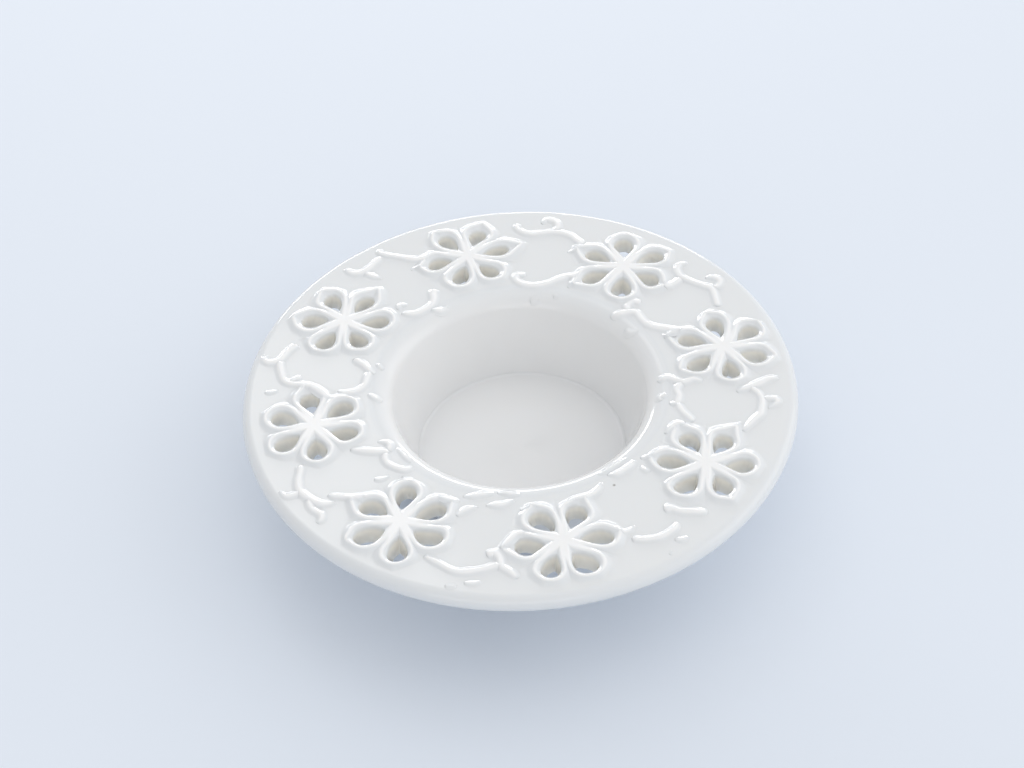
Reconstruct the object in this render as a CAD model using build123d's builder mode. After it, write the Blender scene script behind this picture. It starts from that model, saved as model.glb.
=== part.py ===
from build123d import *
import os
from math import acos, atan, cos, degrees, radians, sin, tan

# Pierced porcelain candle plate, in millimetres.
# The plate stands on z = 0 with the axis of its well on Z. Angles run anticlockwise from +X, seen from above.

# Well, its floor and the foot
WELL_DEPTH = 17.2
FLOOR_RADIUS = 21.0
MOUTH_RADIUS = 26.2
LIP_ROUND = 4.0
LIP_STEPS = 4
WALL_THICKNESS = 3.9
HEEL_EASE = 1.4
COLLAR_WIDTH = 0.8
FLOOR_THICKNESS = 3.5
FLOOR_SEAM = 0.35
FOOT_HEIGHT = 1.4
FOOT_WIDTH = 3.2
FOOT_OUTSET = 1.5

# Rim
RIM_RADIUS = 55.0
RIM_THICKNESS = 3.8
EDGE_EASE = 1.2

# Flowers: six petals, each a raised rim round a teardrop hole
FLOWER_HEIGHT = 0.95
PETAL_COUNT = 6
PETAL_CENTRE = 7.1
PETAL_BACK = 1.0
PETAL_RIM_WIDTH = 1.0
HOLE_ROUND = 2.1
HOLE_START = 2.7
PETAL_STEPS = 6

# Scrolls: trailed strokes, full width in the middle and narrower at both ends
SCROLL_HEIGHT = 0.8
SCROLL_WIDTH = 1.5
SCROLL_END_WIDTH = 1.1

# Each flower: angle, share of the way from the lip to the edge of the rim, turn about its own centre
FLOWERS = [
    (10.5, 0.496, -3),
    (55.5, 0.45, -3),
    (103, 0.434, 0),
    (148.5, 0.457, -4),
    (191.5, 0.469, -3),
    (236, 0.488, -3),
    (279, 0.488, -3),
    (325.5, 0.488, -3),
]

# One list of strokes for each gap between two flowers, each stroke an arc through three points.
# A point is degrees from the middle of the gap, then a share of the way from the lip to the edge of the rim.
OUTER_SCROLLS = [
    [
        [(-7.5, 0.65), (-3.5, 0.74), (0.5, 0.74)],
        [(0.5, 0.74), (3.5, 0.69), (7, 0.67)],
        [(7, 0.67), (10.2, 0.7), (9.8, 0.79)],
    ],
    [
        [(-10, 0.58), (-3.5, 0.68), (3, 0.69)],
        [(3, 0.69), (7.5, 0.66), (10, 0.77)],
    ],
    [
        [(-11.5, 0.59), (-6.5, 0.66), (-2, 0.84)],
        [(6.8, 0.86), (5.5, 0.73), (0, 0.75)],
    ],
    [
        [(-9, 0.69), (-6, 0.74), (-2.5, 0.79)],
        [(-2.5, 0.78), (3, 0.71), (5.2, 0.57)],
        [(5.2, 0.57), (6.3, 0.46), (12, 0.34)],
    ],
    [
        [(-10, 0.66), (-7, 0.71), (-3.7, 0.79)],
        [(-4.5, 0.76), (0.5, 0.78), (4.5, 0.68)],
        [(1.5, 0.65), (5.5, 0.57), (8, 0.43)],
    ],
    [
        [(-11, 0.71), (-3, 0.76), (4.5, 0.66)],
        [(4.5, 0.66), (7.8, 0.68), (9.5, 0.77)],
    ],
    [
        [(-7, 0.67), (-2, 0.74), (3.5, 0.71)],
        [(10, 0.77), (7, 0.64), (3.5, 0.53)],
    ],
    [
        [(9.5, 0.83), (10, 0.73), (8.3, 0.66)],
        [(8.3, 0.66), (6.3, 0.6), (5.3, 0.53)],
        [(8.5, 0.68), (1.5, 0.74), (-7.5, 0.64)],
    ],
]
INNER_SCROLLS = [
    [
        [(-12, 0.3), (-8.8, 0.19), (-4, 0.09)],
        [(-4, 0.09), (3, 0.07), (9.5, 0.01)],
        [(8, 0.03), (10.2, 0.12), (7.5, 0.22)],
    ],
    [
        [(-14.5, 0.27), (-8.5, 0.17), (-2, 0.05)],
        [(-2, 0.05), (3.5, 0.03), (8.5, 0.05)],
    ],
    [
        [(8.5, 0.14), (3, 0.04), (-3, 0.07)],
        [(-3, 0.07), (-5.2, 0.13), (-7.5, 0.18)],
    ],
    [
        [(-6.5, 0.15), (-3.5, 0.07), (1, 0.02)],
        [(1, 0.02), (6.5, 0.08), (8.5, 0.24)],
    ],
    [
        [(-8.5, 0.26), (-6, 0.16), (-1.5, 0.07)],
        [(-1.5, 0.07), (4.5, 0.12), (11, 0.02)],
    ],
    [
        [(-9, 0.26), (-6.2, 0.18), (-0.5, 0.12)],
        [(-0.5, 0.12), (4, 0.1), (8.5, 0.02)],
    ],
    [
        [(-14.5, 0.11), (-8.5, 0.1), (-1.5, 0.04)],
        [(-1.5, 0.04), (5, 0.04), (11.5, 0.09)],
    ],
    [
        [(-7.5, 0.28), (-4.3, 0.17), (2, 0.11)],
        [(2, 0.11), (5.5, 0.09), (9, 0.11)],
        [(9.5, 0.26), (10.6, 0.19), (9, 0.11)],
    ],
]

# Heights
UNDERSIDE_Z = FOOT_HEIGHT
FLOOR_Z = UNDERSIDE_Z + FLOOR_THICKNESS
TOP_Z = FLOOR_Z + WELL_DEPTH
ROOT_Z = TOP_Z - RIM_THICKNESS

# Radii that follow from the slope of the well's wall
WALL_SLOPE = (MOUTH_RADIUS - FLOOR_RADIUS) / WELL_DEPTH
WALL_LEAN = degrees(atan(WALL_SLOPE))
FLAT_RADIUS = MOUTH_RADIUS + LIP_ROUND * tan(radians(90 - WALL_LEAN) / 2)
SEAT_RADIUS = FLOOR_RADIUS - FLOOR_THICKNESS * WALL_SLOPE
HEEL_RADIUS = SEAT_RADIUS + WALL_THICKNESS
NECK_RADIUS = MOUTH_RADIUS - RIM_THICKNESS * WALL_SLOPE + WALL_THICKNESS
COLLAR_RADIUS = NECK_RADIUS + COLLAR_WIDTH
FOOT_RADIUS = SEAT_RADIUS + FOOT_OUTSET

# The flat band of the rim, from where the lip's rounding ends to the edge
BAND_WIDTH = RIM_RADIUS - FLAT_RADIUS

# A flower's first petal points half a step to one side of straight out, so two petals straddle that line
FIRST_PETAL = 180 / PETAL_COUNT


def polar(radius, angle):
    """Point of the plan at a radius and an angle in degrees."""
    return Vector(radius * cos(radians(angle)), radius * sin(radians(angle)))


def band_point(share, angle):
    """Point of the plan at a share of the way across the rim's flat band, and an angle in degrees."""
    return polar(FLAT_RADIUS + share * BAND_WIDTH, angle)


def rounding(centre, radius, start, end, steps):
    """Points at even steps round a centre, from one angle to another."""
    return [centre + polar(radius, start + (end - start) * step / steps) for step in range(steps + 1)]


def teardrop(radius, apex):
    """Corners of a teardrop that is round about a petal's centre and comes to a point on the X axis."""
    reach = 180 - degrees(acos(radius / (PETAL_CENTRE - apex)))
    return [Vector(apex, 0)] + rounding(Vector(PETAL_CENTRE, 0), radius, -reach, reach, PETAL_STEPS)


def flower_plane(flower, height):
    """Plane at a height above a flower's centre, with X pointing outwards, turned with the flower."""
    angle, share, turn = flower
    centre = band_point(share, angle)
    return Plane((centre.X, centre.Y, height), x_dir=polar(1, angle + turn), z_dir=(0, 0, 1))


def stroke_sides(points):
    """Three points along each side of a stroke whose spine is an arc through the three given points."""
    spine = Edge.make_three_point_arc(*points)
    half_widths = [(0, SCROLL_END_WIDTH / 2), (0.5, SCROLL_WIDTH / 2), (1, SCROLL_END_WIDTH / 2)]
    left = []
    right = []
    for share, half_width in half_widths:
        across = spine.tangent_at(share).rotate(Axis.Z, 90) * half_width
        left.append(spine.position_at(share) + across)
        right.append(spine.position_at(share) - across)
    return left, right


def gap_middle(number):
    """Angle half way between one flower and the next."""
    here = FLOWERS[number][0]
    after = FLOWERS[(number + 1) % len(FLOWERS)][0]
    return here + ((after - here) % 360) / 2


def save(piece, name):
    """Label a finished piece and write it as its own file."""
    piece.part.label = name
    export_step(piece.part, f"parts/{name}.step")


os.makedirs("parts", exist_ok=True)

# Petal hole: a teardrop with its point towards the flower's centre
with BuildSketch() as petal_hole:
    with BuildLine():
        Polyline(*teardrop(HOLE_ROUND, HOLE_START), close=True)
    make_face()

# Petal: a larger teardrop round the hole. Its sides meet a little behind the flower's centre, so that
# neighbouring petals join there and part further out.
with BuildSketch() as petal:
    with BuildLine():
        Polyline(*teardrop(HOLE_ROUND + PETAL_RIM_WIDTH, -PETAL_BACK), close=True)
    make_face()

# Rim: a flat ring with an eased edge, luted to the collar of the well. Each flower stands up from it
# and every petal is pierced right through.
with BuildPart() as rim:
    with BuildSketch(Plane.XZ):
        with BuildLine():
            Polyline(
                (COLLAR_RADIUS, TOP_Z),
                (RIM_RADIUS - EDGE_EASE, TOP_Z),
                (RIM_RADIUS, TOP_Z - EDGE_EASE),
                (RIM_RADIUS, ROOT_Z + EDGE_EASE),
                (RIM_RADIUS - EDGE_EASE, ROOT_Z),
                (COLLAR_RADIUS, ROOT_Z),
                close=True,
            )
        make_face()
    revolve(axis=Axis.Z)
    for flower in FLOWERS:
        with BuildSketch(flower_plane(flower, TOP_Z)):
            with PolarLocations(0, PETAL_COUNT, start_angle=FIRST_PETAL):
                add(petal.sketch)
    flowers = extrude(amount=FLOWER_HEIGHT)
    for flower in FLOWERS:
        with BuildSketch(flower_plane(flower, ROOT_Z)):
            with PolarLocations(0, PETAL_COUNT, start_angle=FIRST_PETAL):
                add(petal_hole.sketch)
    extrude(amount=RIM_THICKNESS + FLOWER_HEIGHT, mode=Mode.SUBTRACT)
save(rim, "pierced_rim")

# Well: a tapered wall that turns out over a rounded lip into a short collar
with BuildPart() as well:
    with BuildSketch(Plane.XZ) as profile:
        with BuildLine():
            lip_centre = Vector(FLAT_RADIUS, TOP_Z - LIP_ROUND)
            Polyline(
                (SEAT_RADIUS, UNDERSIDE_Z),
                *rounding(lip_centre, LIP_ROUND, 180 - WALL_LEAN, 90, LIP_STEPS),
                (COLLAR_RADIUS, TOP_Z),
                (COLLAR_RADIUS, ROOT_Z),
                (NECK_RADIUS, ROOT_Z),
                (HEEL_RADIUS, UNDERSIDE_Z),
                close=True,
            )
        make_face()
        chamfer(profile.vertices().sort_by_distance((HEEL_RADIUS, UNDERSIDE_Z))[0], length=HEEL_EASE)
    revolve(axis=Axis.Z)
save(well, "candle_well")

# Floor: a round slab that fits the taper of the wall, with its top edge eased so that the seam shows
with BuildPart() as floor:
    with BuildSketch(Plane.XZ):
        with BuildLine():
            Polyline(
                (0, UNDERSIDE_Z),
                (SEAT_RADIUS, UNDERSIDE_Z),
                (FLOOR_RADIUS, FLOOR_Z),
                (0, FLOOR_Z),
                close=True,
            )
        make_face()
    revolve(axis=Axis.Z)
    chamfer(floor.edges().group_by(Axis.Z)[-1], length=FLOOR_SEAM)
save(floor, "well_floor")

# Foot: a low ring under the seam between the floor and the wall
with BuildPart() as foot:
    with BuildSketch():
        Circle(FOOT_RADIUS)
        Circle(FOOT_RADIUS - FOOT_WIDTH, mode=Mode.SUBTRACT)
    extrude(amount=FOOT_HEIGHT)
save(foot, "foot_ring")

# Scrolls: the strokes of each gap joined together and trimmed back to the flowers beside them
for name, scrolls in (("outer_scroll", OUTER_SCROLLS), ("inner_scroll", INNER_SCROLLS)):
    for number, strokes in enumerate(scrolls):
        middle = gap_middle(number)
        with BuildPart() as scroll:
            with BuildSketch(Plane.XY.offset(TOP_Z)):
                for stroke in strokes:
                    spine_points = [band_point(share, middle + turn) for turn, share in stroke]
                    left, right = stroke_sides(spine_points)
                    with BuildLine():
                        ThreePointArc(*right)
                        Line(right[-1], left[-1])
                        ThreePointArc(*reversed(left))
                        Line(left[0], right[0])
                    make_face()
            extrude(amount=SCROLL_HEIGHT)
            add(flowers, mode=Mode.SUBTRACT)
        save(scroll, f"{name}_{number + 1}")
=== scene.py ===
"""Finished look of a pierced porcelain candle plate: glazed pieces, bare foot and studio."""

import logging
from dataclasses import dataclass
from enum import Enum
from math import atan2, cos, hypot, pi, radians, sin, sqrt, tan

import bmesh
import bpy
from bmesh.types import BMEdge, BMesh, BMVert
from bpy.types import ID, Material, Mesh, Node, NodeSocket, NodeTree, Object
from mathutils import Matrix, Vector, noise
from mathutils.geometry import interpolate_bezier


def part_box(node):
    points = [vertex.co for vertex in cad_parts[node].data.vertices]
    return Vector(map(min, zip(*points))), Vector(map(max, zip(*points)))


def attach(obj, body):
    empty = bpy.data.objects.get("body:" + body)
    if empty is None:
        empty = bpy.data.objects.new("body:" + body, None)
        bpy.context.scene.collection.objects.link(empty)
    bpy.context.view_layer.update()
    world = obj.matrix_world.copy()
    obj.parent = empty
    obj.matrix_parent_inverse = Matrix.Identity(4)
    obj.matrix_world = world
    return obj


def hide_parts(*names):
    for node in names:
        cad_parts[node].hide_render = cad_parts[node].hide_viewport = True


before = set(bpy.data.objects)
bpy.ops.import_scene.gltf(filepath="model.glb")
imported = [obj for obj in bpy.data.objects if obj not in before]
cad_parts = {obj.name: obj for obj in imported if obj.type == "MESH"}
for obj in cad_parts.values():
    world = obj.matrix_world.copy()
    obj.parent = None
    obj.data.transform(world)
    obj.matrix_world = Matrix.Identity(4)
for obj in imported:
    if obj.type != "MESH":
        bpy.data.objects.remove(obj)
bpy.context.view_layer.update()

log = logging.getLogger("candle_plate")

Pair = tuple[float, float]
Colour = tuple[float, float, float]
# Value or linked socket for each input of a shader node, by the input's name or number
Inputs = dict[str | int, object]

# Meshes are modelled in millimetres and made metres when they are built
MM = 0.001
BODY = "root"
# Points nearer than this are one point, in millimetres
WELD = 0.001
# Attribute with the rise of the relief above the ground that it stands on, in millimetres
RISE = "rise"
# Steps of a full turn about the plate's axis
TURN_STEPS = 256
# Seed of the noise, which takes one from the clock if none is set
NOISE_SEED = 53
UP = Vector((0, 0, 1))


class Slot(Enum):
    """Finishes that the record names."""

    GLAZE = "glaze"
    BARE_CLAY = "bare_clay"


class Tip(Enum):
    """Where a petal's raised rim runs out to, in millimetres past its round end and to its left."""

    ROUND = (0.0, 0.0)
    POINTED = (0.7, 0.0)
    LEFT = (0.6, 0.9)
    RIGHT = (0.6, -0.9)
    LONG = (1.5, 0.0)


class End(Enum):
    """How full a trailed stroke is where it stops, as a share of its full width."""

    FINE = 0.35
    TAPER = 0.6
    MEETS = 1.0
    BALL = 1.2


def bell(share: float) -> float:
    """Height of a soft ridge at a share of its half width, 1 on the crest and 0 at the foot."""
    return 0.5 * (1 + cos(pi * min(abs(share), 1)))


def keen_ridge(share: float, keenness: float) -> float:
    """Height of a ridge with a keener crest at a share of its half width."""
    keen = (1 - min(abs(share), 1)) ** 2
    return (1 - keenness) * bell(share) + keenness * keen


def polar(angle: float, radius: float) -> Vector:
    """Point of the plan at an angle in degrees and a radius."""
    return Vector((radius * cos(radians(angle)), radius * sin(radians(angle)), 0))


def drop_distance(
    across: float, along: float, round_radius: float, end_radius: float, length: float,
) -> float:
    """Distance outside a drop: a circle drawn out to a smaller one.

    Args:
        across: place across the drop's axis, from the axis.
        along: place along the axis, from the large circle's centre towards the small one's.
        round_radius: radius of the large circle.
        end_radius: radius of the small circle.
        length: distance between the two centres.

    Returns:
        The distance to the outline, below zero inside it.
    """
    across = abs(across)
    slope = (round_radius - end_radius) / length
    run = sqrt(1 - slope * slope)
    share = along * run - across * slope
    if share < 0:
        return hypot(across, along) - round_radius
    if share > run * length:
        return hypot(across, along - length) - end_radius
    return across * run + along * slope - round_radius


def lies_at(edge: BMEdge, height: float) -> bool:
    """Whether an edge lies level at a height."""
    return all(abs(vert.co.z - height) < WELD for vert in edge.verts)


def circle_loop(bm: BMesh, segments: int) -> tuple[list[BMEdge], list[BMVert]]:
    """Start a loop as a circle of radius 1 about the origin, and give its edges and vertices."""
    verts = bmesh.ops.create_circle(bm, segments=segments, radius=1)["verts"]
    return list(dict.fromkeys(edge for vert in verts for edge in vert.link_edges)), verts


def grow_loop(bm: BMesh, loop: list[BMEdge]) -> tuple[list[BMEdge], list[BMVert]]:
    """Extrude a loop of edges and give back the new loop.

    Args:
        bm: mesh that holds the loop.
        loop: edges to extrude.

    Returns:
        The new edges and the new vertices, still where the old ones are.
    """
    grown = bmesh.ops.extrude_edge_only(bm, edges=loop)["geom"]
    verts = [item for item in grown if isinstance(item, BMVert)]
    fresh = set(verts)
    edges = [item for item in grown if isinstance(item, BMEdge) and fresh.issuperset(item.verts)]
    return edges, verts


def spin_all(bm: BMesh) -> None:
    """Turn everything in a mesh once round the plate's axis.

    Args:
        bm: mesh with the profile.
    """
    bmesh.ops.spin(
        bm, geom=bm.verts[:] + bm.edges[:], axis=UP, cent=(0, 0, 0), angle=2 * pi,
        steps=TURN_STEPS, use_merge=True,
    )


def make_mesh(bm: BMesh, name: str) -> Mesh:
    """Turn a working mesh into a mesh of the file and free it.

    Args:
        bm: the working mesh.
        name: name of the new mesh.

    Returns:
        The new mesh.
    """
    mesh = bpy.data.meshes.new(name)
    bm.to_mesh(mesh)
    bm.free()
    return mesh


def place_object(name: str, data: ID) -> Object:
    """Put new data into the scene as an object at the origin.

    Args:
        name: the object's name.
        data: its mesh, lamp or camera.

    Returns:
        The object.
    """
    placed = bpy.data.objects.new(name, data)
    bpy.context.scene.collection.objects.link(placed)
    return placed


@dataclass(frozen=True)
class Corner:
    """Corner of a turned profile, with the reach of its rounding along the sides and its segments."""

    radius: float
    height: float
    reach: float = 0.0
    segments: int = 1


def turn_profile(bm: BMesh, corners: list[Corner]) -> None:
    """Turn a closed profile about the plate's axis.

    Args:
        bm: empty mesh that takes the turned form.
        corners: corners of the profile in order.
    """
    verts = [bm.verts.new((corner.radius, 0, corner.height)) for corner in corners]
    bm.faces.new(verts)
    for vert, corner in zip(verts, corners):
        if corner.reach:
            bmesh.ops.bevel(
                bm, geom=[vert], offset=corner.reach, offset_type="OFFSET", segments=corner.segments,
                profile=0.5, affect="VERTICES", clamp_overlap=True, material=-1,
            )
    bmesh.ops.delete(bm, geom=bm.faces[:], context="FACES_ONLY")
    axis_edges = [edge for edge in bm.edges if all(vert.co.x < WELD for vert in edge.verts)]
    bmesh.ops.delete(bm, geom=axis_edges, context="EDGES")
    spin_all(bm)


@dataclass(frozen=True)
class PlateFrame:
    """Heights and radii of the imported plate, in millimetres."""

    rim_radius: float
    rim_under: float
    joint_radius: float
    top: float
    underside: float
    floor_top: float
    foot_radius: float

    @classmethod
    def from_cad(cls) -> "PlateFrame":
        """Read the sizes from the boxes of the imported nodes.

        Returns:
            The sizes.
        """
        rim_low, rim_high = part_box("pierced_rim")
        well_low, well_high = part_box("candle_well")
        _, floor_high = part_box("well_floor")
        _, foot_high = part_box("foot_ring")
        return cls(
            rim_radius=rim_high.x / MM,
            rim_under=rim_low.z / MM,
            joint_radius=well_high.x / MM,
            top=well_high.z / MM,
            underside=well_low.z / MM,
            floor_top=floor_high.z / MM,
            foot_radius=foot_high.x / MM,
        )


class Piece:
    """A modelled piece that stands for a node of the frame."""

    name: str
    node: str
    slot: Slot = Slot.GLAZE
    # Angle between two faces in degrees, past which their edge stays crisp
    sharp_angle: float = 50.0

    def shape(self, bm: BMesh) -> None:
        """Model the piece in an empty mesh, in millimetres."""
        raise NotImplementedError

    def build(self, material: Material) -> None:
        """Model the piece, put it on the plate and dress it.

        Args:
            material: material that dresses it.
        """
        bm = bmesh.new()
        self.shape(bm)
        bmesh.ops.remove_doubles(bm, verts=bm.verts[:], dist=WELD)
        bmesh.ops.recalc_face_normals(bm, faces=bm.faces[:])
        bmesh.ops.scale(bm, vec=(MM, MM, MM), verts=bm.verts[:])
        mesh = make_mesh(bm, self.name)
        mesh.shade_smooth()
        mesh.set_sharp_from_angle(angle=radians(self.sharp_angle))
        mesh.materials.append(material)
        piece = place_object(self.name, mesh)
        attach(piece, BODY)
        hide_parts(self.node)
        log.info("%s: %d faces for %s", self.name, len(mesh.polygons), self.node)


@dataclass(frozen=True)
class CandleWell(Piece):
    """Tapered wall of the well with its rounded lip."""

    plate: PlateFrame
    name: str = "glazed_well"
    node: str = "candle_well"
    floor_radius: float = 21.0
    mouth_radius: float = 26.2
    lip_round: float = 4.0
    lip_segments: int = 24
    wall: float = 3.9
    heel_reach: float = 2.0
    neck_reach: float = 0.7
    round_segments: int = 8

    @property
    def slope(self) -> float:
        """How much the wall widens for each millimetre of height."""
        return (self.mouth_radius - self.floor_radius) / (self.plate.top - self.plate.floor_top)

    @property
    def lip_reach(self) -> float:
        """Width of the lip's rounding on the top, from the corner that it rounds."""
        lean = atan2(self.slope, 1)
        return self.lip_round * tan((pi / 2 - lean) / 2)

    @property
    def flat_radius(self) -> float:
        """Radius where the lip's rounding meets the flat top."""
        return self.mouth_radius + self.lip_reach

    @property
    def seat_radius(self) -> float:
        """Inner radius of the wall at its underside."""
        return self.floor_radius - (self.plate.floor_top - self.plate.underside) * self.slope

    def surface(self, radius: float) -> float:
        """Height of the plate's upper surface at a radius, over the lip too."""
        inset = min(max(self.flat_radius - radius, 0), self.lip_round)
        return self.plate.top - self.lip_round + sqrt(self.lip_round**2 - inset**2)

    def shape(self, bm: BMesh) -> None:
        """Turn the wall.

        Args:
            bm: empty mesh that takes it.
        """
        plate = self.plate
        neck = self.mouth_radius - (plate.top - plate.rim_under) * self.slope + self.wall
        turn_profile(bm, [
            Corner(self.seat_radius, plate.underside),
            Corner(self.mouth_radius, plate.top, self.lip_reach, self.lip_segments),
            Corner(plate.joint_radius, plate.top),
            Corner(plate.joint_radius, plate.rim_under),
            Corner(neck, plate.rim_under, self.neck_reach, self.round_segments),
            Corner(self.seat_radius + self.wall, plate.underside, self.heel_reach, self.round_segments),
        ])


@dataclass(frozen=True)
class WellFloor(Piece):
    """Slab that closes the well, with a small cove where glaze gathers along the wall."""

    plate: PlateFrame
    well: CandleWell
    name: str = "glazed_floor"
    node: str = "well_floor"
    cove: float = 0.35
    cove_reach: float = 0.28
    cove_segments: int = 5
    surface_rings: int = 24
    wave_height: float = 0.03
    wave_length: float = 11.0

    def shape(self, bm: BMesh) -> None:
        """Turn the slab and let its top wander a little.

        Args:
            bm: empty mesh that takes it.
        """
        plate, well = self.plate, self.well
        turn_profile(bm, [
            Corner(0, plate.underside),
            Corner(well.seat_radius, plate.underside),
            Corner(well.floor_radius + self.cove * well.slope, plate.floor_top + self.cove),
            Corner(well.floor_radius - self.cove, plate.floor_top, self.cove_reach, self.cove_segments),
            Corner(0, plate.floor_top),
        ])
        spokes = [
            edge for edge in bm.edges
            if lies_at(edge, plate.floor_top) and any(vert.co.xy.length < WELD for vert in edge.verts)
        ]
        bmesh.ops.subdivide_edges(bm, edges=spokes, cuts=self.surface_rings, use_grid_fill=True)
        for vert in bm.verts:
            if vert.co.z > plate.floor_top - WELD:
                vert.co.z += self.wave_height * noise.noise(vert.co / self.wave_length)


@dataclass(frozen=True)
class FootRing(Piece):
    """Low bare ring that the plate stands on."""

    plate: PlateFrame
    name: str = "bare_foot"
    node: str = "foot_ring"
    slot: Slot = Slot.BARE_CLAY
    width: float = 3.2
    edge_reach: float = 0.45
    edge_segments: int = 5

    def shape(self, bm: BMesh) -> None:
        """Turn the ring.

        Args:
            bm: empty mesh that takes it.
        """
        outer, height = self.plate.foot_radius, self.plate.underside
        inner = outer - self.width
        turn_profile(bm, [
            Corner(inner, 0, self.edge_reach, self.edge_segments),
            Corner(outer, 0, self.edge_reach, self.edge_segments),
            Corner(outer, height),
            Corner(inner, height),
        ])


@dataclass(frozen=True)
class Flower:
    """Where a flower stands, how it is turned, how far it is cut open and how each petal ends."""

    angle: float
    radius: float
    turn: float
    opening: float
    tips: tuple[Tip, Tip, Tip, Tip, Tip, Tip]

    def matrix(self, height: float) -> Matrix:
        """Place of the flower's own plan on the plate, with X pointing outwards.

        Args:
            height: height of the plan.

        Returns:
            The matrix from the flower's plan to the plate.
        """
        centre = polar(self.angle, self.radius)
        return Matrix.Translation((centre.x, centre.y, height)) @ Matrix.Rotation(
            radians(self.angle + self.turn), 4, "Z"
        )


FLOWERS = (
    Flower(10.5, 42.0, -3, 0.9, (Tip.LEFT, Tip.LEFT, Tip.LONG, Tip.RIGHT, Tip.ROUND, Tip.LEFT)),
    Flower(55.5, 40.8, -3, 0.94, (Tip.ROUND, Tip.LONG, Tip.LONG, Tip.ROUND, Tip.POINTED, Tip.POINTED)),
    Flower(103, 40.7, 0, 0.84, (Tip.POINTED, Tip.POINTED, Tip.ROUND, Tip.ROUND, Tip.LONG, Tip.POINTED)),
    Flower(148.5, 41.0, -4, 0.88, (Tip.RIGHT, Tip.ROUND, Tip.ROUND, Tip.ROUND, Tip.LONG, Tip.LEFT)),
    Flower(191.5, 41.3, -3, 0.96, (Tip.ROUND, Tip.ROUND, Tip.ROUND, Tip.ROUND, Tip.LONG, Tip.ROUND)),
    Flower(236, 41.8, -3, 1.02, (Tip.ROUND, Tip.ROUND, Tip.POINTED, Tip.ROUND, Tip.LONG, Tip.RIGHT)),
    Flower(279, 41.8, -3, 1.0, (Tip.ROUND, Tip.LEFT, Tip.LONG, Tip.RIGHT, Tip.LONG, Tip.ROUND)),
    Flower(325.5, 41.8, -3, 0.94, (Tip.ROUND, Tip.LONG, Tip.LONG, Tip.RIGHT, Tip.ROUND, Tip.POINTED)),
)


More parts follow.
